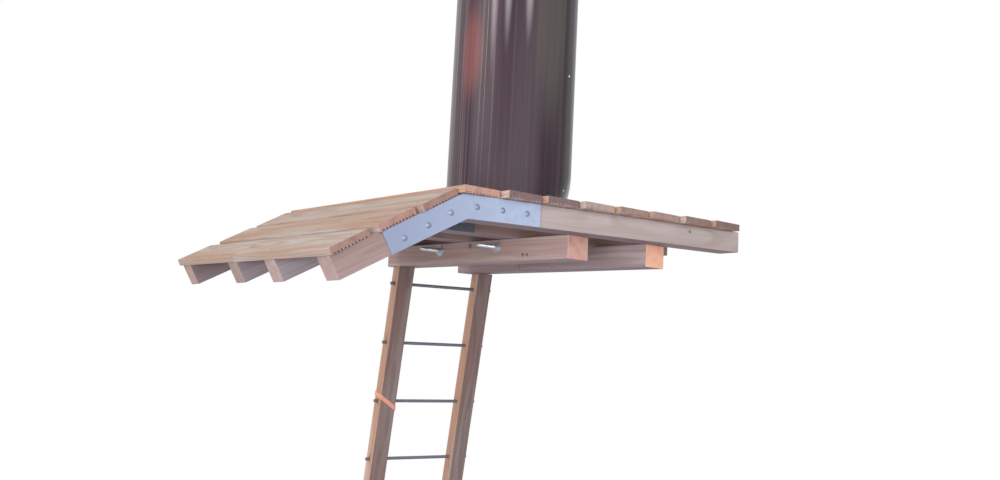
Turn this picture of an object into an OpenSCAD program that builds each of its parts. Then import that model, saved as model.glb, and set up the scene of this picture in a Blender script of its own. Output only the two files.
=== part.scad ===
// Small timber tree platform, clamped round a trunk by two beams and two threaded rods.
// A level deck on skewed joists bends down into a short sloping skirt at steel knee plates.
// X runs across the boards, Y along them towards the back, Z up.
// The origin is on the flat of the left beam that bears on the trunk, at mid height of the beam.

/* [Trunk clamp] */
// Diameter of the trunk that the two beam flats grip
trunk_d = 276; // [260:1:290]
// Depth of the flat housing cut in each beam for the trunk
housing_depth = 12; // [8:1:16]
// Length of that housing along the beam
housing_len = 200; // [160:5:240]
// Width of a clamp beam
beam_w = 100; // [90:1:110]
// Height of a clamp beam
beam_h = 85; // [80:1:100]
// Length of a clamp beam
beam_len = 1140; // [1120:5:1180]
// Diameter of a clamp rod
rod_d = 16; // [12:1:20]
// Length of a clamp rod
rod_len = 600; // [580:5:640]
// Free length of a rod left of the left beam
rod_free = 100; // [60:1:110]
// Distance of each rod from the trunk's axis
rod_offset = 182; // [175:1:200]
// Height of the rods over the middle of the beams
rod_rise = 14; // [8:1:16]
// Diameter of a rod washer
washer_d = 44; // [36:1:48]
// Thickness of a rod washer
washer_t = 4; // [3:0.5:5]
// Width of a rod nut across its corners
nut_d = 27; // [24:1:30]
// Height of a rod nut
nut_h = 13; // [10:1:16]

/* [Frames] */
// Skew of the frames against a square line across the boards, in degrees
skew = 8; // [6:0.5:9]
// Thickness of a joist or rafter along the depth of the platform
joist_w = 100; // [90:1:105]
// Height of a joist or rafter
joist_h = 78; // [72:1:82]
// Length of a joist past the right edge of the last level board
joist_past = 31; // [10:1:40]
// Length of a rafter past the lower edge of the lowest sloping board
rafter_past = 0; // [0:1:10]
// Fall of the sloping boards, in degrees
slope = 29; // [27:0.5:30]
// Distance of each frame behind the first one, along the boards
frame_y = [0, 349, 633, 1040]; // [0:1:1100]
// Distance from the bend line to the outer face of the left beam
bend_to_beam = 480; // [470:1:490]
// Distance from the trunk's axis forward to the first frame at the bend line
front_to_trunk = 580; // [570:1:590]
// Distance between the trunk side of a beam and the end of an interrupted joist
joist_setback = 30; // [20:1:40]

/* [Knee plates] */
// Thickness of a knee plate
plate_t = 5; // [4:0.5:8]
// Length of a knee plate's sloping leg along its top edge
slope_leg = 309; // [295:1:315]
// Length of a knee plate's level leg along its top edge
level_leg = 297; // [290:1:310]
// Distance of a knee plate's top edge below the boards
plate_drop = 1; // [1:0.5:3]
// Diameter of a knee bolt
bolt_d = 10; // [8:1:12]
// Diameter of a knee bolt's round head
bolt_head_d = 20; // [18:1:24]
// Height of a knee bolt's round head
bolt_head_h = 5; // [4:0.5:6]
// Bolt distances from the bend along the sloping leg
slope_bolts = [58, 148, 240]; // [50:1:260]
// Distance of each of those bolts below the middle of the leg
slope_bolt_drop = [0, 5, 9]; // [0:1:12]
// Bolt distances from the bend along the level leg
deck_bolts = [42, 138, 233]; // [30:1:260]

/* [Boards] */
// Width of a board
board_w = 145; // [140:1:147]
// Thickness of a board
board_t = 25; // [22:1:28]
// Gap between boards
board_gap = 5; // [3:1:8]
// Left edge of the first level board, right of the bend line
first_board = -12; // [-14:1:-8]
// Upper edge of the first sloping board, down the slope from the bend line
first_slope_board = 13; // [13:1:30]
// Gaps above the second and the third sloping board
slope_gap = [14, 26]; // [5:1:30]
// Overhang of each level board past the front frame, at the middle of the board
deck_reach = [16, 34, 36, 38, 38, 35, 40, 40]; // [10:1:50]
// Overhang of each sloping board past the front frame, at the middle of the board
slope_reach = [5, 3, 8]; // [0:1:30]
// Overhang of all boards past the back frame, at the middle of the board
back_reach = 5; // [0:1:30]
// Number of grooves along a board's underside
groove_n = 10; // [5:1:10]
// Width of a groove
groove_w = 6.5; // [4:0.5:8]
// Depth of a groove
groove_depth = 5; // [2:0.5:6]
// Distance between the middles of the grooves
groove_pitch = 13; // [9:0.5:13]
// Diameter of the opening for the trunk in the deck
opening_d = 316; // [300:1:320]
// Distance of the butt joint in the lowest board behind the third frame's front
joint_back = 25; // [15:1:85]
// Width of that butt joint
joint_gap = 1.5; // [1:0.5:3]

/* [Sleeve] */
// Outer diameter of the sheet sleeve over the trunk
sleeve_d = 514; // [490:1:520]
// Height of the sleeve over the deck
sleeve_h = 1150; // [1000:10:1300]
// Thickness of the sleeve's sheet
sleeve_t = 2; // [1.5:0.5:3]
// Shift of the sleeve from the trunk's axis to the left
sleeve_left = 18; // [10:1:40]
// Shift of the sleeve from the trunk's axis to the back
sleeve_back = 14; // [5:1:30]
// Width of the overlap at the sleeve's seam
seam_w = 42; // [30:1:60]
// Direction of the seam from the sleeve's axis, turned from +X towards +Y, in degrees
seam_dir = -70; // [-80:1:-40]
// Number of rivets in the seam
rivet_n = 3; // [2:1:3]
// Height of the lowest rivet over the sleeve's lower edge
rivet_low = 122; // [20:1:140]
// Distance of the highest rivet below the sleeve's upper edge
rivet_top = 86; // [20:1:120]
// Diameter of a rivet head
rivet_d = 10; // [8:1:12]
// Height of a rivet head
rivet_h = 3; // [2:0.5:4]

/* [Ladder] */
// Width of a stile along the rungs
stile_w = 75; // [60:1:80]
// Depth of a stile
stile_d = 62; // [50:1:66]
// Distance between the middles of the stiles
stile_spacing = 400; // [395:1:410]
// Lean of the ladder, its foot to the back, in degrees
lean = 10.5; // [9:0.5:12]
// Height of the beams' underside over the ground
ground_clearance = 1790; // [1700:10:2000]
// Middle of the left stile's top, right of the left beam's outer face
stile_inset = 42; // [40:1:50]
// Middle of the left stile's top, behind the trunk's axis
stile_back = 500; // [470:1:505]
// Number of rungs
rung_n = 7; // [5:1:7]
// Diameter of a rung
rung_d = 14; // [10:1:20]
// Length of a rung
rung_len = 510; // [490:1:540]
// Distance between rungs along the stiles
rung_pitch = 262; // [240:1:270]
// Distance of the first rung from the top of the stiles
rung_top = 75; // [65:1:110]
// Width of the strap round the left stile
strap_w = 18; // [15:1:25]
// Thickness of the strap
strap_t = 2; // [1.5:0.5:3]
// Tilt of the strap across the stile, in degrees
strap_tilt = 34; // [30:1:45]
// Number of the rung that the strap crosses, from the top
strap_rung = 3; // [2:1:4]

/* [Hidden] */
$fn = 48;

// Gap all round a rod, bolt or rung in its hole
fit = 0.3;
// Length by which a cutting shape passes the face that it cuts
past = 1;

// Places across the platform
beam_left_x = housing_depth - beam_w;
beam_right_x = trunk_d - housing_depth;
trunk_x = trunk_d / 2;
bend_x = beam_left_x - bend_to_beam;
board_pitch = board_w + board_gap;

// Heights
beam_top = beam_h / 2;
deck_z = beam_top + joist_h;
ground_z = -beam_top - ground_clearance;

// Front ends of the beams follow the skew of the frames
beam_step = (beam_right_x - beam_left_x) * tan(skew);

// Fall of the rafters within the frames' own plane
fall = atan(tan(slope) * cos(skew));
// Shift of the frames' bend across their thickness
bend_shift = joist_w * tan(skew);
// Meeting point of a joist's and a rafter's undersides, right of the bend
knee_x = joist_h * tan(fall / 2);
// Distances of the sloping boards' lower edges from the bend line, down the slope
slope_low = [first_slope_board + board_w,
    first_slope_board + 2 * board_w + slope_gap[0],
    first_slope_board + 3 * board_w + slope_gap[0] + slope_gap[1]];
// Lengths of a joist and a rafter from the bend, along the top of a frame
joist_len = (first_board + len(deck_reach) * board_pitch - board_gap + joist_past) / cos(skew);
rafter_len = (slope_low[2] + rafter_past) * cos(slope) / (cos(skew) * cos(fall));

// Distance between the rivets of the sleeve
rivet_pitch = (sleeve_h - rivet_low - rivet_top) / (rivet_n - 1);

// Front face of the first frame at a given place across the platform
function front_y(x) = -front_to_trunk - (x - bend_x) * tan(skew);
// Back face of the last frame at that place
function back_y(x) = front_y(x) + frame_y[3] + joist_w / cos(skew);
// Point in a frame's plane, a distance down the slope and a depth below the rafter's top
function on_slope(along, below) =
    [-along * cos(fall) + below * sin(fall), -along * sin(fall) - below * cos(fall)];
// Middle of a knee plate at its bend, and places along its two legs from there
knee_mid = [knee_x / 2, -joist_h / 2];
function bolt_places() = concat(
    [for (k = [0 : len(slope_bolts) - 1]) knee_mid + on_slope(slope_bolts[k], slope_bolt_drop[k])],
    [for (d = deck_bolts) knee_mid + [d, 0]]);

// Stands the children in a frame's plane: X along the joist, Y up, and Z out of its front face
module in_frame(i) {
    translate([bend_x, front_y(bend_x) + frame_y[i - 1], deck_z])
        rotate([0, 0, -skew])
            rotate([90, 0, 0])
                children();
}

// Everything above the plane of the sloping boards' underside
module over_slope() {
    translate([bend_x, -front_to_trunk, deck_z])
        rotate([0, -slope, 0])
            translate([-rafter_len - joist_h, -joist_w * 2, 0])
                cube([rafter_len + joist_h, frame_y[3] + joist_w * 6, joist_h]);
}

module bolt_holes(depth) {
    for (p = bolt_places())
        translate([p[0], p[1], -depth])
            cylinder(d = bolt_d + 2 * fit, h = depth + plate_t + past);
}

// A beam with its trunk housing and two rod holes; side is 1 where the trunk lies to +X
module clamp_beam(x, step, side) {
    floor_x = side > 0 ? beam_w - housing_depth : -past;
    color("peru")
        difference() {
            translate([x, -beam_len / 2 - step, -beam_top])
                cube([beam_w, beam_len, beam_h]);
            translate([x + floor_x, -housing_len / 2, -beam_top - past])
                cube([housing_depth + past, housing_len, beam_h + 2 * past]);
            for (y = [-rod_offset, rod_offset])
                translate([x - past, y, rod_rise])
                    rotate([0, 90, 0])
                        cylinder(d = rod_d + 2 * fit, h = beam_w + 2 * past);
        }
}

module clamp_rod(y) {
    color("silver")
        translate([beam_left_x - rod_free, y, rod_rise])
            rotate([0, 90, 0])
                cylinder(d = rod_d, h = rod_len);
}

// Runs the children outward along X from both beams, at both rods
module at_rod_ends() {
    for (y = [-rod_offset, rod_offset]) {
        translate([beam_left_x, y, rod_rise])
            rotate([0, -90, 0])
                children();
        translate([beam_right_x + beam_w, y, rod_rise])
            rotate([0, 90, 0])
                children();
    }
}

module clamp_washers() {
    color("silver")
        at_rod_ends()
            difference() {
                cylinder(d = washer_d, h = washer_t);
                translate([0, 0, -past])
                    cylinder(d = rod_d + 2 * fit, h = washer_t + 2 * past);
            }
}

module clamp_nuts() {
    color("silver")
        at_rod_ends()
            translate([0, 0, washer_t])
                difference() {
                    cylinder(d = nut_d, h = nut_h, $fn = 6);
                    translate([0, 0, -past])
                        cylinder(d = rod_d + 2 * fit, h = nut_h + 2 * past);
                }
}

// The level leg of a frame, mitred at the bend
module bent_joist(i, end) {
    color("burlywood")
        difference() {
            in_frame(i)
                translate([0, 0, -joist_w])
                    linear_extrude(joist_w)
                        polygon([[0, 0], [end, 0], [end, -joist_h], [knee_x, -joist_h]]);
            in_frame(i)
                bolt_holes(joist_w + past);
        }
}

// The right-hand piece of the joist that the trunk interrupts
module joist_behind_trunk(i) {
    start = (beam_right_x + joist_setback - bend_x) / cos(skew);
    color("burlywood")
        in_frame(i)
            translate([start, -joist_h, -joist_w])
                cube([joist_len - start, joist_h, joist_w]);
}

// The sloping leg of a frame, mitred at the bend, its top bevelled to the plane of the boards
module slope_rafter(i) {
    color("burlywood")
        difference() {
            in_frame(i)
                translate([0, 0, -joist_w])
                    linear_extrude(joist_w)
                        polygon([
                            [0, 0],
                            [-bend_shift, 0],
                            [-bend_shift, 0] + on_slope(rafter_len - bend_shift * cos(fall), 0),
                            on_slope(rafter_len, joist_h),
                            [knee_x, -joist_h]]);
            translate([0, frame_y[i - 1], 0])
                over_slope();
            in_frame(i)
                bolt_holes(joist_w + past);
        }
}

// Flat steel plate over the bend of a frame, as wide as the timber
module knee_plate(i) {
    color("lightsteelblue")
        in_frame(i)
            difference() {
                linear_extrude(plate_t)
                    polygon([
                        [plate_drop * tan(fall / 2), -plate_drop],
                        on_slope(slope_leg, plate_drop),
                        on_slope(slope_leg, joist_h),
                        [knee_x, -joist_h],
                        [level_leg, -joist_h],
                        [level_leg, -plate_drop]]);
                bolt_holes(past);
            }
}

// Round-headed bolt, its head on the front plate and its washer and nut behind the timber
module knee_bolt() {
    cap_r = (bolt_head_d * bolt_head_d / 4 + bolt_head_h * bolt_head_h) / (2 * bolt_head_h);
    washer_w = 2.5 * bolt_d;
    nut_t = 0.8 * bolt_d;
    tail = joist_w + bolt_d / 4;
    translate([0, 0, -tail - nut_t - bolt_d / 2])
        cylinder(d = bolt_d, h = tail + nut_t + bolt_d / 2 + plate_t);
    translate([0, 0, -tail])
        cylinder(d = washer_w, h = bolt_d / 4);
    translate([0, 0, -tail - nut_t])
        cylinder(d = 1.9 * bolt_d, h = nut_t, $fn = 6);
    intersection() {
        translate([0, 0, plate_t + bolt_head_h - cap_r])
            sphere(r = cap_r);
        translate([0, 0, plate_t])
            cylinder(d = bolt_head_d, h = bolt_head_h + past);
    }
}

module knee_bolts(i) {
    color("silver")
        in_frame(i)
            for (p = bolt_places())
                translate([p[0], p[1], 0])
                    knee_bolt();
}

// Board section in X and Z, its grooved face down and its top at board_t
module board_section() {
    edge = (board_w - (groove_n - 1) * groove_pitch - groove_w) / 2;
    difference() {
        square([board_w, board_t]);
        for (i = [0 : groove_n - 1])
            translate([edge + i * groove_pitch, -past])
                square([groove_w, groove_depth + past]);
    }
}

// A board from one place along Y to another, its left edge at X = 0 and its underside at Z = 0
module board(from, to) {
    translate([0, to, 0])
        rotate([90, 0, 0])
            linear_extrude(to - from)
                board_section();
}

module deck_board(i) {
    x = bend_x + first_board + (i - 1) * board_pitch;
    mid = x + board_w / 2;
    color("sandybrown")
        difference() {
            translate([x, 0, deck_z])
                board(front_y(mid) - deck_reach[i - 1], back_y(mid) + back_reach);
            translate([trunk_x, 0, deck_z - past])
                cylinder(d = opening_d, h = board_t + 2 * past);
        }
}

// Middle of a sloping board across the platform, and the ends of the board along Y
function slope_mid(i) = bend_x - (slope_low[i - 1] - board_w / 2) * cos(slope);
function slope_front(i) = front_y(slope_mid(i)) - slope_reach[i - 1];
function slope_back(i) = back_y(slope_mid(i)) + back_reach;

module slope_board(i, from, to) {
    color("sandybrown")
        translate([bend_x, 0, deck_z])
            rotate([0, -slope, 0])
                translate([-slope_low[i - 1], 0, 0])
                    board(from, to);
}

// Where the lowest board's two lengths meet, over the third rafter
joint_y = front_y(slope_mid(3)) + frame_y[2] + joint_back;

module at_sleeve() {
    translate([trunk_x - sleeve_left, sleeve_back, deck_z + board_t])
        children();
}

module trunk_sleeve() {
    seam_angle = seam_w / (PI * sleeve_d) * 360;
    color("saddlebrown")
        at_sleeve() {
            difference() {
                cylinder(d = sleeve_d, h = sleeve_h);
                translate([0, 0, -past])
                    cylinder(d = sleeve_d - 2 * sleeve_t, h = sleeve_h + 2 * past);
            }
            rotate([0, 0, seam_dir - seam_angle / 2])
                rotate_extrude(angle = seam_angle)
                    translate([sleeve_d / 2 - sleeve_t / 2, 0])
                        square([sleeve_t * 1.5, sleeve_h]);
        }
}

module sleeve_rivets() {
    color("silver")
        at_sleeve()
            rotate([0, 0, seam_dir])
                for (i = [0 : rivet_n - 1])
                    translate([sleeve_d / 2 + sleeve_t + fit, 0, rivet_low + i * rivet_pitch])
                        rotate([0, 90, 0])
                            cylinder(d = rivet_d, h = rivet_h);
}

// The ladder's own axes: X along the rungs, Z up the stiles, the origin at the left stile's top
module on_ladder() {
    translate([beam_left_x + stile_inset, stile_back, -beam_top])
        rotate([0, 0, -skew])
            rotate([lean, 0, 0])
                children();
}

function rung_z(i) = -rung_top - (i - 1) * rung_pitch;

module rung_bars(d, length) {
    for (i = [1 : rung_n])
        translate([(stile_spacing - length) / 2, 0, rung_z(i)])
            rotate([0, 90, 0])
                cylinder(d = d, h = length);
}

// A stile cut level under its beam and at the ground
module ladder_stile(along) {
    reach = ground_clearance / cos(lean) + 2 * stile_d;
    color("chocolate")
        difference() {
            intersection() {
                on_ladder()
                    translate([along - stile_w / 2, -stile_d / 2, -reach + stile_d])
                        cube([stile_w, stile_d, reach]);
                translate([-beam_len, -beam_len, ground_z])
                    cube([2 * beam_len, 3 * beam_len, ground_clearance]);
            }
            on_ladder()
                rung_bars(rung_d + 2 * fit, rung_len + 2 * stile_w);
        }
}

module ladder_rungs() {
    color("dimgray")
        on_ladder()
            rung_bars(rung_d, rung_len);
}

// Strap wound round the left stile at a tilt
module stile_strap() {
    half = stile_w + stile_d;
    color("orangered")
        on_ladder()
            translate([0, 0, rung_z(strap_rung)])
                intersection() {
                    difference() {
                        cube([stile_w + 2 * strap_t, stile_d + 2 * strap_t, 2 * half], center = true);
                        cube([stile_w, stile_d, 2 * half + past], center = true);
                    }
                    rotate([0, strap_tilt, 0])
                        cube([2 * half, 2 * half, strap_w], center = true);
                }
}

clamp_beam(beam_left_x, 0, 1);  // clamp_beam_left
clamp_beam(beam_right_x, beam_step, -1);  // clamp_beam_right
clamp_rod(-rod_offset);  // clamp_rod_front
clamp_rod(rod_offset);  // clamp_rod_back
clamp_washers();
clamp_nuts();
for (i = [1, 2, 4])
    bent_joist(i, joist_len);
bent_joist(3, (beam_left_x + beam_w - joist_setback - bend_x) / cos(skew) - bend_shift);  // deck_joist_3_left
joist_behind_trunk(3);  // deck_joist_3_right
for (i = [1 : 4])
    slope_rafter(i);
for (i = [1 : 4])
    knee_plate(i);
for (i = [1 : 4])
    knee_bolts(i);
for (i = [1 : len(deck_reach)])
    deck_board(i);
for (i = [1, 2])
    slope_board(i, slope_front(i), slope_back(i));
slope_board(3, slope_front(3), joint_y - joint_gap / 2);  // slope_board_3_front
slope_board(3, joint_y + joint_gap / 2, slope_back(3));  // slope_board_3_back
trunk_sleeve();
sleeve_rivets();
ladder_stile(0);  // ladder_stile_left
ladder_stile(stile_spacing);  // ladder_stile_right
ladder_rungs();
stile_strap();
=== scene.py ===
import math

import bmesh
import bpy
from mathutils import Matrix, Vector, noise


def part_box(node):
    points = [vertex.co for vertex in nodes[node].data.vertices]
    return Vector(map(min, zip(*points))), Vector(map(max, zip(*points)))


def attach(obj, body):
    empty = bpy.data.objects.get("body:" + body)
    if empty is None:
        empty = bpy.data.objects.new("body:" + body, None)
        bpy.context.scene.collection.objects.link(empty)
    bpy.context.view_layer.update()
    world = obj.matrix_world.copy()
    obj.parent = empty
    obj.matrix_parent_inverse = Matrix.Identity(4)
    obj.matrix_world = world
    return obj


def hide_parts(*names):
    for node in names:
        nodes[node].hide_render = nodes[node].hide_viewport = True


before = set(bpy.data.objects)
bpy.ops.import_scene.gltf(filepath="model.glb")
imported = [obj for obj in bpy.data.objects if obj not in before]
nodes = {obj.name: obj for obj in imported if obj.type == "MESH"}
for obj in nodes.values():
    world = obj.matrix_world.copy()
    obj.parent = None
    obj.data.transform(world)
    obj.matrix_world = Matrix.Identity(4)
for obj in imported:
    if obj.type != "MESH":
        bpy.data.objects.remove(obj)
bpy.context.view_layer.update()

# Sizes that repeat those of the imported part, in metres, and its angles
SKEW = math.radians(8)
SLOPE = math.radians(29)
LEAN = math.radians(10.5)
GROUND_Z = -1.8325
DECK_Z = 0.1205
BEND_X = -0.568
FRONT_Y = -0.58
BOARD_T = 0.025
FRAME_Y = (0.0, 0.349, 0.633, 1.04)
FRAME_W = 0.1
JOIST_H = 0.078
JOIST_SETBACK = 0.03
BEAM_INNER = (0.012, 0.264)
PLATE_T = 0.005
PLATE_DROP = 0.001
SLOPE_LEG = 0.309
LEVEL_LEG = 0.297
ROD_R = 0.008
ROD_Z = 0.014
ROD_HOLE_R = 0.0083
WASHER_R = 0.022
WASHER_T = 0.004
NUT_R = 0.0135
NUT_H = 0.013
SLEEVE_R = 0.257
SEAM_DIR = math.radians(-70)
SEAM_W = 0.042
RIVET_N = 3
RIVET_R = 0.005
RUNG_N = 7
RUNG_R = 0.007
RUNG_LEN = 0.51
RUNG_TOP = 0.075
RUNG_PITCH = 0.262
STILE_SPACING = 0.4
LADDER_TOP = (-0.046, 0.5, -0.0425)

# Directions of the members
ACROSS = Vector((1, 0, 0))
BACK = Vector((0, 1, 0))
UP = Vector((0, 0, 1))
FALL = math.atan(math.tan(SLOPE) * math.cos(SKEW))
JOIST_DIR = Vector((math.cos(SKEW), -math.sin(SKEW), 0))
RAFTER_DIR = (-JOIST_DIR * math.cos(FALL) - UP * math.sin(FALL)).normalized()
RAFTER_SIDE = RAFTER_DIR.cross(Vector((-math.sin(SKEW), -math.cos(SKEW), 0)))
SLOPE_OUT = Vector((-math.sin(SLOPE), 0, math.cos(SLOPE)))
SLOPE_SIDE = SLOPE_OUT.cross(BACK).normalized()
STILE_DIR = Vector((math.sin(SKEW) * math.sin(LEAN), math.cos(SKEW) * math.sin(LEAN),
                    -math.cos(LEAN)))


def srgb(r, g, b):
    """Linear colour, with alpha, of a colour given in 0 to 255."""
    def line(v):
        v /= 255
        return v / 12.92 if v <= 0.04045 else ((v + 0.055) / 1.055) ** 2.4
    return (line(r), line(g), line(b), 1.0)


# Materials

class Net:
    """The node tree of a material or world, built a node at a time."""

    def __init__(self, owner):
        owner.use_nodes = True
        self.owner = owner
        self.tree = owner.node_tree

    def put(self, socket, value):
        if isinstance(value, bpy.types.NodeSocket):
            self.tree.links.new(value, socket)
        else:
            socket.default_value = value

    def new(self, kind, inputs=(), **settings):
        made = self.tree.nodes.new(kind)
        for key, value in settings.items():
            setattr(made, key, value)
        for key, value in dict(inputs).items():
            self.put(made.inputs[key], value)
        return made

    def math(self, operation, a, b=0.0):
        return self.new("ShaderNodeMath", {0: a, 1: b}, operation=operation).outputs[0]

    def total(self, first, *others):
        for other in others:
            first = self.math("ADD", first, other)
        return first

    def diagonal(self, a, b):
        """Length of the vector with the sides a and b."""
        squares = [self.math("MULTIPLY", side, side) for side in (a, b)]
        return self.math("SQRT", self.total(*squares))

    def waves(self, value, length):
        return self.math("SINE", self.math("MULTIPLY", value, 2 * math.pi / length))

    def vector(self, operation, a, b=(0, 0, 0), output="Vector"):
        made = self.new("ShaderNodeVectorMath", {0: a, 1: b}, operation=operation)
        return made.outputs[output]

    def axes(self, vector):
        return self.new("ShaderNodeSeparateXYZ", {0: vector}).outputs

    def mix(self, share, a, b):
        return self.new("ShaderNodeMix", {0: share, 6: a, 7: b}, data_type="RGBA").outputs[2]

    def spread(self, value, low, high, to_low=0.0, to_high=1.0):
        """Goes over smoothly from to_low to to_high where the value goes from low to high."""
        inputs = {0: value, 1: low, 2: high, 3: to_low, 4: to_high}
        made = self.new("ShaderNodeMapRange", inputs, interpolation_type="SMOOTHSTEP")
        return made.outputs[0]

    def attribute(self, name, output="Vector"):
        return self.new("ShaderNodeAttribute", attribute_name=name).outputs[output]

    def position(self):
        return self.new("ShaderNodeTexCoord").outputs["Object"]

    def noise(self, vector, scale, detail=2.0, rough=0.5, zoom=1.0):
        """Noise on a vector. scale is one number, or one for each axis with zoom on top."""
        if isinstance(scale, tuple):
            vector, scale = self.vector("MULTIPLY", vector, scale), zoom
        inputs = {"Vector": vector, "Scale": scale, "Detail": detail, "Roughness": rough}
        return self.new("ShaderNodeTexNoise", inputs).outputs[0]

    def cells(self, vector, scale=1.0):
        """Distance to the middle of a point's cell, and a random number for each cell."""
        inputs = {"Vector": vector, "Scale": scale}
        cell = self.new("ShaderNodeTexVoronoi", inputs, feature="F1")
        lot = self.new("ShaderNodeSeparateColor", {0: cell.outputs["Color"]}).outputs[0]
        return cell.outputs["Distance"], lot

    def bump(self, height, strength, distance):
        inputs = {"Height": height, "Strength": strength, "Distance": distance}
        normal = self.new("ShaderNodeBump", inputs).outputs[0]
        self.put(self.tree.nodes["Principled BSDF"].inputs["Normal"], normal)

    def finish(self, color, rough, metallic=0.0, **fixed):
        """Feeds the shader and returns the material. fixed are further numbers of the shader."""
        inputs = self.tree.nodes["Principled BSDF"].inputs
        self.put(inputs["Base Color"], color)
        self.put(inputs["Roughness"], rough)
        inputs["Metallic"].default_value = metallic
        for key, value in fixed.items():
            inputs[key.replace("_", " ")].default_value = value
        return self.owner


def new_material(name):
    return Net(bpy.data.materials.new(name))


# The wood's noises: cycles a metre along, across and through the piece
DRIFT_ACROSS = (1.1, 5, 5)
DRIFT_THROUGH = (0.8, 4, 4)
KNOT_CELLS = (2.6, 9, 1.5)
FIBRES = (9, 420, 420)
BROAD_BANDS = (0.9, 17, 10)
PATCHES = (2.4, 6, 6)

# How far the rings drift off straight and bend round a knot, in metres
RING_DRIFT = (0.06, 0.04)
KNOT_PUSH = 0.012
# Reach of a scattered knot in its cell, and inner and outer reach of a placed one in its radii
KNOT_REACH = 0.13
KNOT_FADE = (0.5, 2.4)
# How long a placed knot is drawn, how much darker than late wood, and its share of the colour
KNOT_SQUEEZE = 0.8
KNOT_SHADE = 0.45
KNOT_INK = 0.8
# Shares of late wood, fibres and patches in the colour of a face, and of late wood in a cut end
LATE_INK = 0.45
FIBRE_INK = 0.3
PATCH_INK = 0.35
END_INK = 0.25
# Heights of late wood and fibres against each other, and what both come to in metres
LATE_HEIGHT = 0.5
FIBRE_HEIGHT = 0.8
WOOD_RELIEF = 0.0006


def wood(name, colors, ring=0.007, pith=(0.03, -0.07), knots=(), knot_share=0.35):
    """Sawn timber. The attribute grain runs along, across and through the piece, and end marks
    its cut ends. The attribute tint holds each face's weathering and its painted shade and light.

    colors are early wood, late wood and the broad bands along the piece, then the two of the cut
    ends. ring is the rings' spacing, and pith their middle, across and through. knots are (along,
    across, radius) on the face, and knot_share is how many of the scattered knots show.
    """
    pale, deep, streak, end, end_deep = (srgb(*color) for color in colors)
    net = new_material(name)
    grain = net.attribute("grain")
    x, y, z = net.axes(grain)
    drift_y = net.math("MULTIPLY", net.noise(grain, DRIFT_ACROSS), RING_DRIFT[0])
    drift_z = net.math("MULTIPLY", net.noise(grain, DRIFT_THROUGH, zoom=1.7), RING_DRIFT[1])
    ring_y = net.total(net.math("SUBTRACT", y, pith[0]), drift_y)
    ring_z = net.total(net.math("SUBTRACT", z, pith[1]), drift_z)
    radius = net.diagonal(ring_y, ring_z)

    # Scattered knots, and those that the photograph shows
    away, lot = net.cells(net.vector("MULTIPLY", grain, KNOT_CELLS))
    picked = net.math("LESS_THAN", lot, knot_share)
    knot = net.math("MULTIPLY", net.spread(away, 0.0, KNOT_REACH, 1.0, 0.0), picked)
    for along, across, size in knots:
        off_x = net.math("MULTIPLY", net.math("SUBTRACT", x, along), KNOT_SQUEEZE)
        off_y = net.math("SUBTRACT", y, across)
        near, far = (size * reach for reach in KNOT_FADE)
        placed = net.spread(net.diagonal(off_x, off_y), near, far, 1.0, 0.0)
        knot = net.math("MAXIMUM", knot, placed)

    pushed = net.total(radius, net.math("MULTIPLY", knot, KNOT_PUSH))
    late = net.spread(net.waves(pushed, ring), 0.1, 1.0)
    fibre = net.noise(grain, FIBRES, 3, 0.6)
    broad = net.noise(grain, BROAD_BANDS, 3, 0.55)
    patch = net.noise(grain, PATCHES)

    face = net.mix(net.spread(broad, 0.38, 0.6), pale, streak)
    face = net.mix(net.math("MULTIPLY", late, LATE_INK), face, deep)
    marks = ((fibre, 0.45, 0.75, FIBRE_INK, deep), (patch, 0.5, 0.75, PATCH_INK, streak),
             (knot, 0.25, 0.9, KNOT_INK, tuple(KNOT_SHADE * c for c in deep[:3]) + (1.0,)))
    for mark, low, high, ink, color in marks:
        face = net.mix(net.math("MULTIPLY", net.spread(mark, low, high), ink), face, color)
    cut = net.mix(net.math("MULTIPLY", late, END_INK), end, end_deep)
    cut = net.mix(net.spread(net.noise(grain, 30, 3, 0.6), 0.42, 0.7, 0.0, 0.45), cut, end_deep)
    color = net.mix(net.attribute("end", "Fac"), face, cut)
    tinted = net.vector("MULTIPLY", color, net.attribute("tint"))
    height = net.total(net.math("MULTIPLY", late, LATE_HEIGHT),
                       net.math("MULTIPLY", fibre, FIBRE_HEIGHT))
    net.bump(height, 0.35, WOOD_RELIEF)
    return net.finish(tinted, net.spread(fibre, 0.2, 0.8, 0.52, 0.74))


def zinc(name, base, dark, rough=0.42, metallic=0.75, size=55, painted_light_end=None):
    """Galvanised steel with spangles, size to the metre, and smudges. Along a knee plate it goes
    over to
    the colour painted_light_end: painted shade toward the slope leg's end, painted light toward
    the level end."""
    base, dark = srgb(*base), srgb(*dark)
    net = new_material(name)
    place = net.position()
    if painted_light_end:
        along = net.spread(net.axes(place)[0], BEND_X - SLOPE_LEG, BEND_X + LEVEL_LEG)
        base = net.mix(along, base, srgb(*painted_light_end))
    spangle = net.cells(place, float(size))[1]
    smudge = net.noise(place, 7, 4, 0.6)
    color = net.mix(net.math("MULTIPLY", spangle, 0.22), base, dark)
    color = net.mix(net.spread(smudge, 0.5, 0.8, 0.0, 0.45), color, dark)
    net.bump(net.total(spangle, net.noise(place, (40, 40, 300))), 0.08, 0.0004)
    return net.finish(color, net.spread(smudge, 0.25, 0.75, rough - 0.06, rough + 0.12), metallic)


# Broad patches on the sleeve: (height, x, y) from its axis, reach along and across, and colour.
# The first three are reddish, grey and dark purple patches; the last three are painted highlights
SLEEVE_PATCHES_AND_HIGHLIGHTS = [
    ((0.8, -0.256, -0.03), (0.25, 0.08), (120, 66, 66)),
    ((0.95, -0.022, -0.256), (0.6, 0.1), (84, 80, 76)),
    ((0.6, 0.16, -0.2), (1.2, 0.11), (58, 42, 60)),
    # Painted highlights near the sleeve's top, fading downward
    ((1.25, -0.225, -0.125), (0.6, 0.02), (150, 140, 148)),
    ((1.25, -0.192, -0.171), (0.5, 0.022), (158, 150, 158)),
    ((1.2, -0.126, -0.225), (0.42, 0.024), (158, 152, 156)),
]
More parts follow.
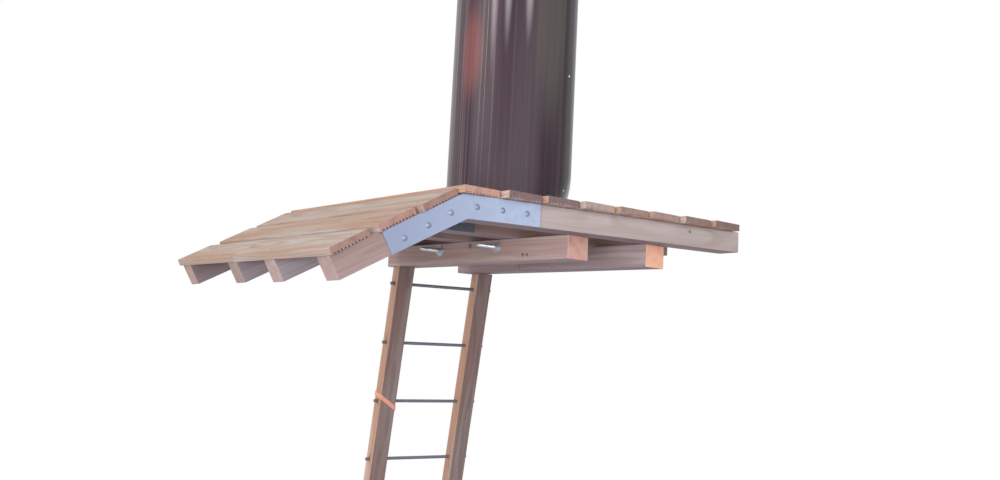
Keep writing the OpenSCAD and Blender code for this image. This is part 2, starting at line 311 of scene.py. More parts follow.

# Direction from the sleeve's axis where its painted dark reflection beside the seam starts, the
# width of that edge, and the places along Y between which the band fades out
DARK_REFLECTION_DIR = math.radians(-80.4)
DARK_REFLECTION_EDGE = 0.006
DARK_REFLECTION_FADE = (-0.15, -0.05)
# Places along X between which the painted highlight streaks of the sleeve's left side fade out
HIGHLIGHT_STREAK_FADE = (-0.225, -0.17)


def sheet_paint(name):
    """Glossy brown sheet. Its attribute grain is (height, x, y) from the sleeve's axis."""
    net = new_material(name)
    grain = net.attribute("grain")
    wide = net.noise(grain, (0.25, 9, 9))
    narrow = net.noise(grain, (0.3, 60, 60), rough=0.6)
    thin = net.noise(grain, (0.3, 170, 170), 1)
    color = net.mix(net.spread(wide, 0.4, 0.62), srgb(52, 34, 46), srgb(64, 48, 58))
    for spot, (along, across), mark_colour in SLEEVE_PATCHES_AND_HIGHLIGHTS:
        away = net.vector("SUBTRACT", grain, spot)
        away = net.vector("MULTIPLY", away, (1 / along, 1 / across, 1 / across))
        away = net.vector("LENGTH", away, output="Value")
        color = net.mix(net.spread(away, 0.3, 1.0, 0.85, 0.0), color, srgb(*mark_colour))

    x, y = net.axes(grain)[1:]
    # A painted dark reflection in a band beside the seam
    past_edge = net.total(net.math("MULTIPLY", x, -math.sin(DARK_REFLECTION_DIR)),
                          net.math("MULTIPLY", y, math.cos(DARK_REFLECTION_DIR)))
    past_edge = net.spread(past_edge, 0.0, DARK_REFLECTION_EDGE, 0.0, 0.9)
    dark_reflection = net.math("MULTIPLY", past_edge, net.spread(y, *DARK_REFLECTION_FADE, 1.0, 0.0))
    color = net.mix(dark_reflection, color, srgb(34, 22, 34))

    # Pale streaks on the sleeve's left side: painted highlights
    highlight_side = net.spread(x, *HIGHLIGHT_STREAK_FADE, 1.0, 0.1)
    for streaks, shine in ((net.spread(narrow, 0.48, 0.7, 0.0, 0.6), (120, 104, 106)),
                           (net.spread(thin, 0.58, 0.78, 0.0, 0.55), (164, 148, 144))):
        color = net.mix(net.math("MULTIPLY", streaks, highlight_side), color, srgb(*shine))
    dust = net.noise(grain, 90, 4, 0.7)
    color = net.mix(net.spread(dust, 0.55, 0.85, 0.0, 0.08), color, srgb(150, 135, 125))
    net.bump(narrow, 0.12, 0.002)
    return net.finish(color, net.spread(wide, 0.3, 0.8, 0.24, 0.34), Specular_IOR_Level=0.25)


def bar_steel(name, base, rust):
    """Dark bar with mill scale and a little rust."""
    net = new_material(name)
    place = net.position()
    spots = net.noise(place, 60, 4, 0.65)
    run = net.noise(place, (6, 60, 60), 3)
    color = net.mix(net.spread(spots, 0.52, 0.75, 0.0, 0.5), srgb(*base), srgb(*rust))
    net.bump(net.total(spots, run), 0.2, 0.0005)
    return net.finish(color, net.spread(run, 0.3, 0.7, 0.35, 0.6), 0.6)


def webbing(name, base, dark, warp=0.003, weft=0.0022):
    """Woven strap, its threads warp and weft apart. Its attribute grain runs along and across."""
    net = new_material(name)
    grain = net.attribute("grain")
    x, y, _ = net.axes(grain)
    weave = net.math("MULTIPLY", net.waves(x, warp), net.waves(y, weft))
    soil = net.noise(grain, 60, 3)
    color = net.mix(net.spread(soil, 0.45, 0.8, 0.0, 0.5), srgb(*base), srgb(*dark))
    color = net.mix(net.spread(weave, 0.2, 1.0, 0.0, 0.3), color, srgb(*dark))
    net.bump(weave, 0.5, 0.0004)
    return net.finish(color, 0.75, Sheen_Weight=0.2, Sheen_Roughness=0.5)


BOARD = wood("board_wood", [(206, 190, 174), (164, 124, 102), (192, 148, 120), (190, 163, 150),
                            (139, 108, 102)], ring=0.008, pith=(0.02, -0.06), knot_share=0.12)
FRAME_WOOD = wood("frame_wood", [(190, 168, 160), (160, 130, 118), (174, 148, 140),
                                 (180, 156, 152), (152, 124, 118)], knot_share=0.2)
FRONT_JOIST_WOOD = wood("front_joist_wood", [(201, 187, 181), (174, 149, 137), (187, 170, 163),
                                             (190, 176, 172), (160, 138, 132)],
                        knots=[(0.971, 0.016, 0.004)], knot_share=0.0)
BEAM_WOOD = wood("beam_wood", [(216, 186, 174), (168, 136, 124), (196, 160, 148),
                               (228, 180, 158), (196, 138, 116)], ring=0.009, pith=(0.02, 0.01),
                 knots=[(0.555, 0.025, 0.007), (0.238, -0.02, 0.006), (0.214, -0.021, 0.005)],
                 knot_share=0.15)
STILE_WOOD = wood("stile_wood", [(218, 188, 168), (158, 124, 108), (194, 150, 126),
                                 (190, 160, 148), (140, 108, 98)], knot_share=0.25)
# The front plate grows paler toward its level end as painted light
PLATE_ZINC = zinc("plate_zinc", (134, 144, 170), (134, 144, 170), metallic=0.25,
                  painted_light_end=(171, 184, 210))
# Darker zinc for the inner plates: painted shade, as they lie in shadow behind the front frame
INNER_PLATE_SHADE_ZINC = zinc("inner_plate_shade_zinc", (116, 120, 134), (92, 98, 112), metallic=0.5)
BOLT_ZINC = zinc("bolt_zinc", (138, 147, 170), (100, 104, 128), 0.5, 0.5, 180)
FASTENER_ZINC = zinc("fastener_zinc", (206, 210, 218), (136, 138, 148), 0.32, size=180)
SCREW_STEEL = bar_steel("screw_steel", (150, 124, 104), (120, 92, 76))
SLEEVE_PAINT = sheet_paint("sleeve_paint")
RUNG_STEEL = bar_steel("rung_steel", (120, 124, 136), (110, 84, 74))
STRAP_WEB = webbing("strap_web", (240, 166, 140), (210, 122, 98))

# Tints of the timber, as factors on its colour: weathering, and painted shade and light on some
# faces
PLAIN = (1.0, 1.0, 1.0)
# Painted shade, bluish, on faces that look down; darker under the beams and darkest under the
# front joist
UNDER_SHADE = (0.78, 0.84, 1.12)
BEAM_UNDER_SHADE = (0.64, 0.63, 0.82)
DARK_UNDER_SHADE = (0.54, 0.46, 0.57)
WARM = (1.02, 0.81, 0.78)
DAMP = (0.4, 0.37, 0.46)
FADED = (0.9, 0.93, 1.0)
DULL = (0.8, 0.77, 0.79)
WORN = (0.71, 0.67, 0.7)
GREY = (0.52, 0.52, 0.55)
DARK_GREY = (0.44, 0.4, 0.44)
SUNNY = (1.28, 1.2, 1.12)
TOP_WORN = (0.82, 0.81, 0.85)
SLOPE_WORN = (0.7, 0.72, 0.77)
SLOPE_END = (0.68, 0.56, 0.54)
SLOPE_END_PALE = (0.83, 0.66, 0.65)
# Painted light on the slope boards' lower edges, which lie in shade in the gaps between the
# boards
EAVE_PAINTED_LIGHT = (1.09, 1.32, 1.55)
SHADED = (0.74, 0.76, 0.86)
JOIST_WORN = (0.87, 0.89, 0.93)
BEAM_WORN = (0.87, 0.92, 1.0)
BEAM_DULL = (0.7, 0.77, 0.93)
BEAM_END = (0.83, 0.83, 0.93)
# Painted shade on the stiles' front faces, which face away from the light from the left
STILE_FRONT_SHADE = (0.4, 0.43, 0.54)

# The same for the ends of the eight level boards and for those of the four rafters, and painted
# shade on the rafters' fronts under the boards
DECK_ENDS = [WARM, DAMP, DAMP, FADED, WORN, DULL, GREY, DARK_GREY]
TAIL_ENDS = [(0.94, 0.91, 0.91), PLAIN, (0.81, 0.76, 0.76), (0.95, 0.9, 0.84)]
TAIL_FRONT_SHADES = [(0.91, 0.86, 0.8), (0.89, 0.97, 1.05), (0.79, 0.87, 0.93), (0.68, 0.71, 0.74)]

# Shapes

# Length at each end of a member where cut faces show end grain
END_REACH = 0.1
# Distance between the cross cuts that let a member bow
CUT_STEP = 0.09
# Distance between the starts of two pieces in the wood that they are cut from
SEED_STEP = 11.0
# Corners of a mesh closer than this are one, and faces that bend less are one
SAME = 2e-6
FLAT = math.radians(0.6)
# Corners this close to a cross cut lie on it
ON_CUT = 1e-6
# Bend from which an edge is rounded, and from which it counts as a board's upper edge
SHARP = math.radians(20)
SQUARE = math.radians(60)
# Cosines from which a face counts as a cut end, an edge, an underside, a front or a board's top,
# and an edge as one that runs along the board
CUT_FACE = 0.75
EDGE_FACE = 0.9
UNDER_FACE = 0.6
FRONT_FACE = 0.7
TOP_FACE = 0.95
LONG_EDGE = 0.99
# Cycles a metre of a member's bow, and of its twist along and across it
BOW_WAVES = 2.1
TWIST_WAVES = (2.7, 9)
# Steps in the noise from one seed to the next, for bow and twist, and where the twist's starts
BOW_STEP = 7.7
TWIST_STEP = 3.1
TWIST_START = 40


def add_piece(bm, name, material, replaced=(), smooth=None):
    """Links a finished mesh as a piece that rides on the one body and stands for its nodes."""
    mesh = bpy.data.meshes.new(name)
    bm.to_mesh(mesh)
    bm.free()
    mesh.materials.append(material)
    if smooth:
        mesh.shade_smooth()
        mesh.set_sharp_from_angle(angle=math.radians(smooth))
    piece = bpy.data.objects.new(name, mesh)
    bpy.context.scene.collection.objects.link(piece)
    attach(piece, "root")
    if replaced:
        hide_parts(*replaced)
    return piece


def set_grain(piece, along, side, seed, tint=PLAIN, end=PLAIN, under=UNDER_SHADE, front=PLAIN,
              edge=PLAIN):
    """Writes the attributes that the wood reads: grain, end and tint.

    end, under, front and edge tint the cut ends and what looks down, forward and along side.
    """
    mesh = piece.data
    axes = (along, side, along.cross(side).normalized())
    corners = [v.co for v in mesh.vertices]
    low = [min(c.dot(axis) for c in corners) for axis in axes]
    high = [max(c.dot(axis) for c in corners) for axis in axes]
    zeros = (low[0], (low[1] + high[1]) / 2, (low[2] + high[2]) / 2)
    starts = (SEED_STEP * seed, 0.0, 0.0)
    grain = mesh.attributes.new("grain", "FLOAT_VECTOR", "POINT")
    for i, c in enumerate(corners):
        grain.data[i].vector = [c.dot(axis) - zero + start
                                for axis, zero, start in zip(axes, zeros, starts)]
    ends = mesh.attributes.new("end", "FLOAT", "FACE")
    tints = mesh.attributes.new("tint", "FLOAT_VECTOR", "FACE")
    for f in mesh.polygons:
        at = f.center.dot(along)
        near_end = at < low[0] + END_REACH or at > high[0] - END_REACH
        cut = abs(f.normal.dot(along)) > CUT_FACE and near_end
        ends.data[f.index].value = 1.0 if cut else 0.0
        look = Vector(end if cut else tint)
        if edge != PLAIN and f.normal.dot(side) > EDGE_FACE:
            look *= Vector(edge)
        elif f.normal.z < -UNDER_FACE:
            look *= Vector(under)
        elif f.normal.y < -FRONT_FACE:
            look *= Vector(front)
        tints.data[f.index].vector = look


def solid_copy(node):
    """The CAD node's mesh with its flat faces whole again."""
    bm = bmesh.new()
    bm.from_mesh(nodes[node].data)
    bmesh.ops.remove_doubles(bm, verts=bm.verts[:], dist=SAME)
    bmesh.ops.dissolve_limit(bm, angle_limit=FLAT, verts=bm.verts[:], edges=bm.edges[:])
    return bm


def bevel(bm, edges, width, segments=2):
    bmesh.ops.bevel(bm, geom=edges, offset=width, offset_type="OFFSET", segments=segments,
                    profile=0.5, affect="EDGES", clamp_overlap=False)


def round_edges(bm, width, shortest):
    """Rounds the edges between flat faces that are longer than shortest."""
    bevel(bm, [e for e in bm.edges if len(e.link_faces) == 2 and e.calc_length() > shortest
               and e.calc_face_angle(0) > SHARP], width)


def ease_top(bm, along, out, width):
    """Rounds the long edges of a board's top face."""
    bevel(bm, [e for e in bm.edges if e.calc_face_angle(0) > SQUARE
               and abs((e.verts[0].co - e.verts[1].co).normalized().dot(along)) > LONG_EDGE
               and any(f.normal.dot(out) > TOP_FACE for f in e.link_faces)], width, 5)


def cut_along(bm, along):
    """Adds cross cuts along a member, so that it can bow."""
    dots = [v.co.dot(along) for v in bm.verts]
    low, high = min(dots), max(dots)
    count = max(2, int((high - low) / CUT_STEP))
    for k in range(1, count):
        everything = bm.verts[:] + bm.edges[:] + bm.faces[:]
        place = along * (low + (high - low) * k / count)
        bmesh.ops.bisect_plane(bm, geom=everything, dist=ON_CUT, plane_co=place,
                               plane_no=along)


def timber(node, along, side, material, slot, seed, width=0.0025, shortest=0.02, bow=0.0005,
           top_ease=0.0, **looks):
    """A sawn member: the CAD solid with eased edges and the slight bow and twist of real timber.

    width is how much its edges are rounded, and top_ease its upper long ones. looks are the tints
    of set_grain.
    """
    bm = solid_copy(node)
    out = along.cross(side).normalized()
    if top_ease:
        ease_top(bm, along, out, top_ease)
    round_edges(bm, width, shortest)
    cut_along(bm, along)
    for v in bm.verts:
        s = v.co.dot(along)
        w = v.co.dot(side)
        swing = noise.noise(Vector((s * BOW_WAVES, seed * BOW_STEP, 0.0)))
        lift = noise.noise(Vector((s * TWIST_WAVES[0], w * TWIST_WAVES[1],
                                   seed * TWIST_STEP + TWIST_START)))
        v.co += side * (swing * bow) + out * (lift * bow)
    piece = add_piece(bm, node + "_wood", material, [node])
    set_grain(piece, along, side, seed, **looks)


def circle(radius, steps):
    turns = [2 * math.pi * k / steps for k in range(steps)]
    return [(radius * math.cos(a), radius * math.sin(a)) for a in turns]


def ring_faces(bm, a, b):
    """Faces between two rings of as many corners."""
    steps = len(a)
    for k in range(steps):
        bm.faces.new((a[k], a[(k + 1) % steps], b[(k + 1) % steps], b[k]))


def lathe(profile, steps, close=True):
    """Rings of (radius, height) turned about Z."""
    bm = bmesh.new()
    rings = [[bm.verts.new((x, y, h)) for x, y in circle(r, steps)] for r, h in profile]
    for a, b in zip(rings, rings[1:]):
        ring_faces(bm, a, b)
    if close:
        bm.faces.new(list(reversed(rings[0])))
        bm.faces.new(rings[-1])
    return bm


def gather(parts):
    """Joins (bmesh, matrix) pairs into one bmesh."""
    whole = bmesh.new()
    for bm, matrix in parts:
        mesh = bpy.data.meshes.new("part")
        bm.transform(matrix)
        bm.to_mesh(mesh)
        whole.from_mesh(mesh)
        bpy.data.meshes.remove(mesh)
    return whole


def turned(direction, origin):
    """Matrix that takes +Z to a direction, with its origin moved."""
    return Matrix.Translation(origin) @ UP.rotation_difference(direction).to_matrix().to_4x4()


def middle(node):
    low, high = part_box(node)
    return (low + high) / 2


# Boards, frames, beams and stiles

BOARD_EDGES = {"width": 0.0014, "shortest": 0.001, "bow": 0.0006, "top_ease": 0.004}
HEAVY_EDGE = 0.003

for i, look in enumerate(DECK_ENDS):
    timber(f"deck_board_{i + 1}", BACK, -ACROSS, BOARD, "board_timber", 1 + i, tint=TOP_WORN,
           end=look, **BOARD_EDGES)
for i, name in enumerate(["1", "2", "3_front", "3_back"]):
    look = SLOPE_END_PALE if name == "2" else SLOPE_END
    timber("slope_board_" + name, BACK, SLOPE_SIDE, BOARD, "board_timber", 12 + i,
           tint=SLOPE_WORN, end=look, edge=EAVE_PAINTED_LIGHT, **BOARD_EDGES)
timber("deck_joist_1", JOIST_DIR, UP, FRONT_JOIST_WOOD, "frame_timber", 0, tint=JOIST_WORN,
       end=FADED, under=DARK_UNDER_SHADE)
for i, name in enumerate(["2", "3_left", "3_right", "4"]):
    timber("deck_joist_" + name, JOIST_DIR, UP, FRAME_WOOD, "frame_timber", 20 + i, tint=DULL)
for i, (end, front) in enumerate(zip(TAIL_ENDS, TAIL_FRONT_SHADES)):
    timber(f"slope_rafter_{i + 1}", RAFTER_DIR, RAFTER_SIDE, FRAME_WOOD, "frame_timber", 30 + i,
           tint=SHADED, end=end, front=front)
for name, seed, tint, end in (("left", 0, BEAM_WORN, BEAM_END), ("right", 42, BEAM_DULL, SUNNY)):
    timber("clamp_beam_" + name, BACK, UP, BEAM_WOOD, "beam_timber", seed, HEAVY_EDGE, tint=tint,
           end=end, under=BEAM_UNDER_SHADE)
for i, name in enumerate(["left", "right"]):
    timber("ladder_stile_" + name, STILE_DIR, JOIST_DIR, STILE_WOOD, "stile_timber", 50 + i,
           HEAVY_EDGE, front=STILE_FRONT_SHADE)

# Knee plates and bolts

PLATE_EDGE = 0.0012


def on_slope(along, below):
    """A point in a frame's plane, along the rafter's top and below it."""
    return (-along * math.cos(FALL) + below * math.sin(FALL),
            -along * math.sin(FALL) - below * math.cos(FALL))


def knee_plate(k):
    """The bent plate over a frame's knee, its edges eased."""
    outline = [(PLATE_DROP * math.tan(FALL / 2), -PLATE_DROP), on_slope(SLOPE_LEG, PLATE_DROP),
               on_slope(SLOPE_LEG, JOIST_H), (JOIST_H * math.tan(FALL / 2), -JOIST_H),
               (LEVEL_LEG, -JOIST_H), (LEVEL_LEG, -PLATE_DROP)]
    bm = bmesh.new()
    back, front = ([bm.verts.new((x, y, z)) for x, y in outline] for z in (0.0, PLATE_T))
    bm.faces.new(list(reversed(back)))
    bm.faces.new(front)
    ring_faces(bm, back, front)
    bevel(bm, bm.edges[:], PLATE_EDGE)
    axes = Matrix((JOIST_DIR, UP, JOIST_DIR.cross(UP))).transposed().to_4x4()
    bm.transform(Matrix.Translation((BEND_X, FRONT_Y + FRAME_Y[k], DECK_Z)) @ axes)
    return bm


for k in range(len(FRAME_Y)):
    name = f"knee_plate_{k + 1}"
    add_piece(knee_plate(k), name + "_zinc", INNER_PLATE_SHADE_ZINC if k else PLATE_ZINC,
              [name])
    bolts = nodes[f"knee_bolts_{k + 1}"]
    bolts.data.materials.clear()
    bolts.data.materials.append(BOLT_ZINC)

# Clamp rods, nuts and washers

THREAD_PITCH = 0.002
THREAD_DEPTH = 0.0011
# Share of a nut's half width where its chamfers start, and how steep they are
CHAMFER_FROM = 0.97
CHAMFER_FALL = 0.58
# Outline of a washer as (radius, height), its outer edges eased
WASHER_OUTLINE = [(ROD_HOLE_R, 0.0), (0.0216, 0.0), (WASHER_R, 0.0006), (WASHER_R, 0.0034),
                  (0.0216, WASHER_T), (ROD_HOLE_R, WASHER_T), (ROD_HOLE_R, 0.0)]


def threaded_rod(length, steps=20):
    """A rod along +Z with a real thread, of so many steps a turn."""
    bm = bmesh.new()
    root, crest = [], []
    for i in range((int(length / THREAD_PITCH) + 1) * steps):
        a = 2 * math.pi * i / steps
        z = min(THREAD_PITCH * i / steps - THREAD_PITCH, length)
        top = min(z + THREAD_PITCH / 2, length)
        for line, r, h in ((root, ROD_R - THREAD_DEPTH, z), (crest, ROD_R, top)):
            line.append(bm.verts.new((r * math.cos(a), r * math.sin(a), max(0.0, h))))
    for i in range(len(root) - steps - 1):
        bm.faces.new((root[i], root[i + 1], crest[i + 1], crest[i]))
        bm.faces.new((crest[i], crest[i + 1], root[i + 1 + steps], root[i + steps]))
    bm.faces.new(list(reversed(root[:steps])))
    bm.faces.new(crest[-steps - 1:-1])
    return bm


def nut(steps=96):
    """A hexagon nut with its corners chamfered at both ends."""
    flat = NUT_R * math.cos(math.pi / 6)
    chamfer = flat * CHAMFER_FROM
    bm = bmesh.new()
    rings = [[] for _ in range(6)]
    for k in range(steps):
        a = 2 * math.pi * k / steps
        side = flat / math.cos((a + math.pi / 6) % (math.pi / 3) - math.pi / 6)
        drop = max(0.0, side - chamfer) * CHAMFER_FALL
        outline = [(ROD_HOLE_R, 0.0), (chamfer, 0.0), (side, drop), (side, NUT_H - drop),
                   (chamfer, NUT_H), (ROD_HOLE_R, NUT_H)]
        for ring, (r, h) in zip(rings, outline):
            ring.append(bm.verts.new((r * math.cos(a), r * math.sin(a), h)))
    rings.append(rings[0])
    for a, b in zip(rings, rings[1:]):
        ring_faces(bm, b, a)
    return bm


for node in ("clamp_rod_front", "clamp_rod_back"):
    low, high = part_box(node)
    start = Vector((low.x, (low.y + high.y) / 2, (low.z + high.z) / 2))
    rod = gather([(threaded_rod(high.x - low.x), turned(ACROSS, start))])
    add_piece(rod, node + "_thread", FASTENER_ZINC, [node])

rod_y = middle("clamp_rod_back").y
beam_left, beam_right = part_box("clamp_beam_left")[0].x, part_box("clamp_beam_right")[1].x
washers, nuts = [], []
for y in (-rod_y, rod_y):
    for x, way in ((beam_left, -ACROSS), (beam_right, ACROSS)):
        seat = Vector((x, y, ROD_Z))
        washers.append((lathe(WASHER_OUTLINE, 48, close=False), turned(way, seat)))
        nuts.append((nut(), turned(way, seat + way * WASHER_T)))
add_piece(gather(washers), "clamp_washers_zinc", FASTENER_ZINC,
          ["clamp_washers"], smooth=30)
add_piece(gather(nuts), "clamp_nuts_zinc", FASTENER_ZINC, ["clamp_nuts"],
          smooth=25)

# Sheet sleeve

# Thickness of its sheet, and how far it stays inside the CAD's outside
SHEET_T = 0.0008
SHEET_INSET = 0.0006
# Its wide and narrow flutes: depth, waves round and up, and where their pattern starts
FLUTES = [(0.0012, 5, 0.7, 0), (0.0005, 17, 0.5, 5)]
# Lift of its lap over the seam
LAP_LIFT = 0.0022
# Share of the turn after which the lap starts to lift
LAP_FROM = 0.9
# Direction, depth, height and spread of its pressed-in lower edge
PINCH_DIR = math.radians(-50)
PINCH_IN = 0.045
PINCH_H = 0.157
PINCH_SPREAD = 0.42
# Depth, spread and height of the crease over it
CREASE_IN = 0.004
CREASE_SPREAD = 0.2
CREASE_H = 0.02
# Steps round and up the sheet
SHEET_AROUND = 360
SHEET_UP = 96
# A rivet's head as (radius, height), and how far it stands off the sheet under the lap
RIVET_OUTLINE = [(RIVET_R, 0.0), (0.0049, 0.0008), (0.0042, 0.0018), (0.003, 0.0025),
                 (0.0016, 0.0028), (0.0015, 0.0016)]
RIVET_SEAT = 0.0018


def sheet_radius(a, height):
    """Radius of the sheet's outside in a direction, at a height over its lower edge, without
    its lap."""
    x, y = math.cos(a), math.sin(a)
    r = SLEEVE_R - SHEET_INSET
    for depth, around, up, start in FLUTES:
        r += depth * noise.noise(Vector((x * around, y * around, height * up + start)))
    off = math.atan2(math.sin(a - PINCH_DIR), math.cos(a - PINCH_DIR))
    r -= PINCH_IN * math.exp(-(off / PINCH_SPREAD) ** 2) * max(0.0, 1 - height / PINCH_H)
    crease = math.exp(-(off / CREASE_SPREAD) ** 2)
    return r - CREASE_IN * crease * math.exp(-((height - PINCH_H) / CREASE_H) ** 2)


def sleeve():
    """A lapped sheet with shallow flutes and a lower edge that is pressed in beside the seam."""
    low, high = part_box("trunk_sleeve")
    centre = Vector((low.x + SLEEVE_R, high.y - SLEEVE_R, 0))
    lap = SEAM_W / (2 * math.pi * SLEEVE_R)
    bm = bmesh.new()

    def corners(i, depth):
        """The sheet's corners from its lower to its upper edge, a depth below its outside."""
        u = (1 + lap) * i / SHEET_AROUND
        a = SEAM_DIR + 2 * math.pi * (u - lap / 2)
        turn = Vector((math.cos(a), math.sin(a), 0))
        lift = LAP_LIFT * max(0.0, (u - LAP_FROM) / (1 - LAP_FROM + lap))
        heights = [(high.z - low.z) * j / SHEET_UP for j in range(SHEET_UP + 1)]
        return [bm.verts.new(centre + turn * (sheet_radius(a, height) + lift - depth)
                             + UP * (low.z + height)) for height in heights]

    outer, inner = ([corners(i, depth) for i in range(SHEET_AROUND + 1)]
                    for depth in (0.0, SHEET_T))
    for i in range(SHEET_AROUND):
        for j in range(SHEET_UP):
            bm.faces.new((outer[i][j], outer[i + 1][j], outer[i + 1][j + 1], outer[i][j + 1]))
            bm.faces.new((inner[i][j + 1], inner[i + 1][j + 1], inner[i + 1][j], inner[i][j]))
        bm.faces.new((inner[i][0], inner[i + 1][0], outer[i + 1][0], outer[i][0]))
        bm.faces.new((outer[i][-1], outer[i + 1][-1], inner[i + 1][-1], inner[i][-1]))
    for j in range(SHEET_UP):
        bm.faces.new((inner[0][j], outer[0][j], outer[0][j + 1], inner[0][j + 1]))
        bm.faces.new((outer[-1][j], inner[-1][j], inner[-1][j + 1], outer[-1][j + 1]))
    piece = add_piece(bm, "trunk_sleeve_sheet", SLEEVE_PAINT, ["trunk_sleeve"],
                      smooth=40)
    grain = piece.data.attributes.new("grain", "FLOAT_VECTOR", "POINT")
    for i, v in enumerate(piece.data.vertices):
        grain.data[i].vector = (v.co.z, v.co.x - centre.x, v.co.y - centre.y)
    return centre, low.z


sleeve_centre, sleeve_low = sleeve()
low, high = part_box("sleeve_rivets")
rivets = []
out = Vector((math.cos(SEAM_DIR), math.sin(SEAM_DIR), 0))
for k in range(RIVET_N):
    z = low.z + RIVET_R + (high.z - low.z - 2 * RIVET_R) * k / (RIVET_N - 1)
    reach = sheet_radius(SEAM_DIR, z - sleeve_low) + RIVET_SEAT
    rivets.append((lathe(RIVET_OUTLINE, 24), turned(out, sleeve_centre + out * reach + UP * z)))
add_piece(gather(rivets), "sleeve_rivets_zinc", FASTENER_ZINC,
          ["sleeve_rivets"], smooth=40)

# Ladder rungs and strap

# Share of a rung's radius that its ends are chamfered by, and the lengths it is drawn in
RUNG_TIP = 0.2
RUNG_PARTS = 12
# How much the strap's edges are rounded, and the shortest edge that is
STRAP_EDGE = (0.0006, 0.004)


def rung():
    tip = RUNG_R * RUNG_TIP
    rings = [(RUNG_R, RUNG_LEN * k / RUNG_PARTS) for k in range(1, RUNG_PARTS)]
    return lathe([(RUNG_R - tip, 0.0), (RUNG_R, tip)] + rings
                 + [(RUNG_R, RUNG_LEN - tip), (RUNG_R - tip, RUNG_LEN)], 20)


rungs = []
for k in range(RUNG_N):
    down = RUNG_TOP + RUNG_PITCH * k
    start = Vector(LADDER_TOP) + STILE_DIR * down + JOIST_DIR * ((STILE_SPACING - RUNG_LEN) / 2)
    rungs.append((rung(), turned(JOIST_DIR, start)))
add_piece(gather(rungs), "ladder_rungs_bar", RUNG_STEEL, ["ladder_rungs"],
          smooth=40)

strap = solid_copy("stile_strap")
round_edges(strap, *STRAP_EDGE)
strap = add_piece(strap, "stile_strap_web", STRAP_WEB, ["stile_strap"])
set_grain(strap, JOIST_DIR, STILE_DIR, 60)

# Board screws, two over each frame in each board

# Distance of a screw from the middle of its board
SCREW_SIDE = 0.045
# Its countersunk head with a small recess, as (radius, height)
SCREW_OUTLINE = [(0.0042, -0.001), (0.0045, 0.0001), (0.0042, 0.0004), (0.002, 0.0005),
                 (0.0017, -0.0006)]
# Number, from 0, of the frame whose joist the trunk interrupts
CUT_FRAME = 2


def frame_middle(x, k):
    """Where the middle of a frame lies along Y, at a given place across the platform."""
    return FRONT_Y - (x - BEND_X) * math.tan(SKEW) + FRAME_Y[k] + FRAME_W / 2 / math.cos(SKEW)


screws = []
for i in range(len(DECK_ENDS)):
    for side in (-SCREW_SIDE, SCREW_SIDE):
        x = middle(f"deck_board_{i + 1}").x + side
        joist_is_cut = BEAM_INNER[0] - JOIST_SETBACK < x < BEAM_INNER[1] + JOIST_SETBACK
        for k in range(len(FRAME_Y)):
            if k == CUT_FRAME and joist_is_cut:
                continue
            spot = Vector((x, frame_middle(x, k), DECK_Z + BOARD_T))
            screws.append((lathe(SCREW_OUTLINE, 18), turned(UP, spot)))
for node in ("slope_board_1", "slope_board_2", "slope_board_3_front"):
    seat = middle(node)
    under = (DECK_Z - seat.z + (seat.x - BEND_X) * math.tan(SLOPE)) * math.cos(SLOPE)
    seat += SLOPE_OUT * (under + BOARD_T)
    for side in (-SCREW_SIDE, SCREW_SIDE):
        spot = seat + SLOPE_SIDE * side
        for k in range(len(FRAME_Y)):
            spot.y = frame_middle(spot.x, k)
            screws.append((lathe(SCREW_OUTLINE, 18), turned(SLOPE_OUT, spot)))
add_piece(gather(screws), "board_screws_steel", SCREW_STEEL, smooth=40)

# Light, floor and camera

# The level at which the white world and the floor's white rim light the object
LIGHT_LEVEL = 0.42
# What the lamps are turned to
AIM = Vector((0.0, 0.0, 0.1))
# Radius of the floor, its middle, its grey, and the distances between which it turns white
FLOOR_R = 3.6
FLOOR_AT = (0.0, 0.2, GROUND_Z)
FLOOR_GREY = 0.68
FLOOR_FADE = (0.9, 3.4)
# The photograph's view: turn, rise and roll in degrees, place in metres, focal length and shift
# of the middle as shares of the picture's width, and the width of the sensor in millimetres
VIEW_ANGLES = (39.74, 6.43, 2.88)
EYE = (-2.311, -2.869, -0.319)
FOCAL = 0.920
SHIFT_Y = -0.0085
SENSOR = 36


def area(name, at, size, power, color, spread=180):
    """A rectangular lamp, with its spread in degrees."""
    data = bpy.data.lights.new(name, "AREA")
    data.spread = math.radians(spread)
    data.shape = "RECTANGLE"
    data.size, data.size_y = size
    data.energy = power
    data.color = color
    lamp = bpy.data.objects.new(name, data)
    lamp.location = at
    lamp.rotation_euler = (AIM - Vector(at)).to_track_quat("-Z", "Y").to_euler()
    bpy.context.scene.collection.objects.link(lamp)


def white_level(net):
    """Strength that is white where a ray sees or mirrors, and a plain level where it lights."""
    rays = net.new("ShaderNodeLightPath").outputs
    seen = net.math("MAXIMUM", rays["Is Camera Ray"], rays["Is Glossy Ray"])
    seen = net.math("MAXIMUM", seen, rays["Is Transmission Ray"])
    return net.new("ShaderNodeMapRange", {0: seen, 3: LIGHT_LEVEL, 4: 1.0}).outputs[0]


def white_world():
    world = bpy.data.worlds.new("studio")
    bpy.context.scene.world = world
    net = Net(world)
    background = net.tree.nodes["Background"].inputs
    background["Color"].default_value = (1, 1, 1, 1)
    net.put(background["Strength"], white_level(net))


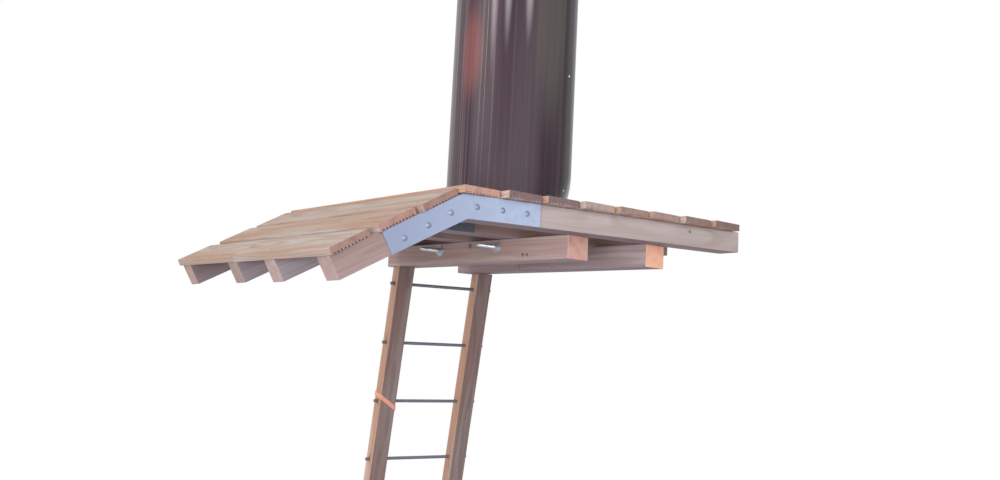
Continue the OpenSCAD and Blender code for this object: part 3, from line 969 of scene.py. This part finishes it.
def floor():
    """A pale round floor that fades out into the white."""
    bm = bmesh.new()
    bmesh.ops.create_circle(bm, cap_ends=True, segments=96, radius=FLOOR_R)
    mesh = bpy.data.meshes.new("floor")
    bm.to_mesh(mesh)
    bm.free()
    ground = bpy.data.objects.new("floor", mesh)
    ground.location = FLOOR_AT
    bpy.context.scene.collection.objects.link(ground)
    net = new_material("floor")
    mesh.materials.append(net.finish((FLOOR_GREY, FLOOR_GREY, FLOOR_GREY, 1), 0.8))
    reach = net.vector("LENGTH", net.position(), output="Value")
    grey = net.tree.nodes["Principled BSDF"].outputs[0]
    white = net.new("ShaderNodeEmission", {0: (1, 1, 1, 1), 1: white_level(net)}).outputs[0]
    blend = net.new("ShaderNodeMixShader", {0: net.spread(reach, *FLOOR_FADE), 1: grey, 2: white})
    net.put(net.tree.nodes["Material Output"].inputs["Surface"], blend.outputs[0])


def camera():
    """The photograph's view, solved from the board ends, plates, beams and ladder."""
    yaw, pitch, roll = (math.radians(v) for v in VIEW_ANGLES)
    forward = Vector((math.sin(yaw) * math.cos(pitch), math.cos(yaw) * math.cos(pitch),
                      math.sin(pitch)))
    level = Vector((math.cos(yaw), -math.sin(yaw), 0))
    over = level.cross(forward)
    right = math.cos(roll) * level + math.sin(roll) * over
    top = -math.sin(roll) * level + math.cos(roll) * over
    data = bpy.data.cameras.new("camera")
    data.sensor_width = SENSOR
    data.lens = SENSOR * FOCAL
    data.shift_y = SHIFT_Y
    eye = bpy.data.objects.new("camera", data)
    axes = Matrix((right, top, -forward)).transposed().to_4x4()
    eye.matrix_world = Matrix.Translation(EYE) @ axes
    bpy.context.scene.collection.objects.link(eye)
    bpy.context.scene.camera = eye


white_world()
floor()
area("key", (-4.0, 0.6, 2.4), (3.0, 3.0), 102, (1.0, 0.97, 0.93))
area("front", (-1.4, -4.6, 1.2), (4.0, 3.0), 76, (0.98, 0.98, 1.0))
area("low", (-4.4, -3.1, -0.5), (3.4, 1.6), 52, (0.96, 0.97, 1.0), spread=100)
camera()
bpy.context.scene.view_settings.view_transform = "Standard"
